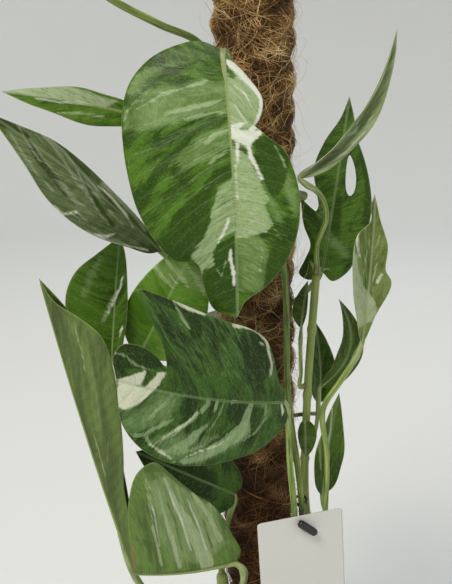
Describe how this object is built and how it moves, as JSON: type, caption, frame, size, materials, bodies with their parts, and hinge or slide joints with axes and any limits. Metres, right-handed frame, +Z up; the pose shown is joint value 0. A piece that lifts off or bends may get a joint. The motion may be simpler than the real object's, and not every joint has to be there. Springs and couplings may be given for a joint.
{
  "type": "potted marble epipremnum pinnatum",
  "caption": "Marble-variegated Epipremnum pinnatum climbing a coir pole in a round nursery pot, with large split leaves and a blank hang tag.",
  "frame": {"origin": "middle of the pot's base, on the surface it stands on", "axes": "+Z up along the pole; the front of the plant, with its largest leaf and its card, faces -Y; +X is to the right seen from the front"},
  "size_m": [0.2484, 0.2529, 0.7063],
  "materials": {
    "pot_plastic": "moulded, satin",
    "potting_mix": "crumbly",
    "stake_wood": "sawn",
    "coir": "fibrous",
    "twine": "twisted",
    "stem": "smooth",
    "leaf": "waxy, marbled with cream",
    "pale_leaf": "waxy, mostly cream and grey-green",
    "dark_leaf": "waxy, mostly green",
    "card": "plain, matt",
    "black_plastic": "moulded"
  },
  "bodies": {
    "root": {"pot": "pot_plastic", "soil": "potting_mix", "pole_core": "stake_wood", "coir_wrap": "coir", "pole_twine": "twine", "vine_back": "stem", "vine_front": "stem", "vine_right": "stem", "vine_left": "stem", "leaf_front_large": "leaf", "leaf_front_split": "leaf", "leaf_front_low": "leaf", "leaf_left_long": "dark_leaf", "leaf_left_upper": "dark_leaf", "leaf_left_top": "pale_leaf", "leaf_left_dark": "dark_leaf", "leaf_behind_front": "leaf", "leaf_low_dark": "dark_leaf", "leaf_right_top": "pale_leaf", "leaf_right_holed": "dark_leaf", "leaf_right_curled": "pale_leaf", "leaf_right_dark": "dark_leaf", "leaf_right_small": "dark_leaf", "leaf_right_inner": "leaf", "leaf_right_low": "pale_leaf", "leaf_right_drooping": "dark_leaf", "leaf_top_left": "leaf", "leaf_top_young": "leaf", "leaf_back_top": "leaf", "leaf_back_high": "leaf", "leaf_back_middle": "dark_leaf", "leaf_back_low": "leaf", "label_card": "card", "label_loop": "black_plastic"}
  },
  "joints": []
}
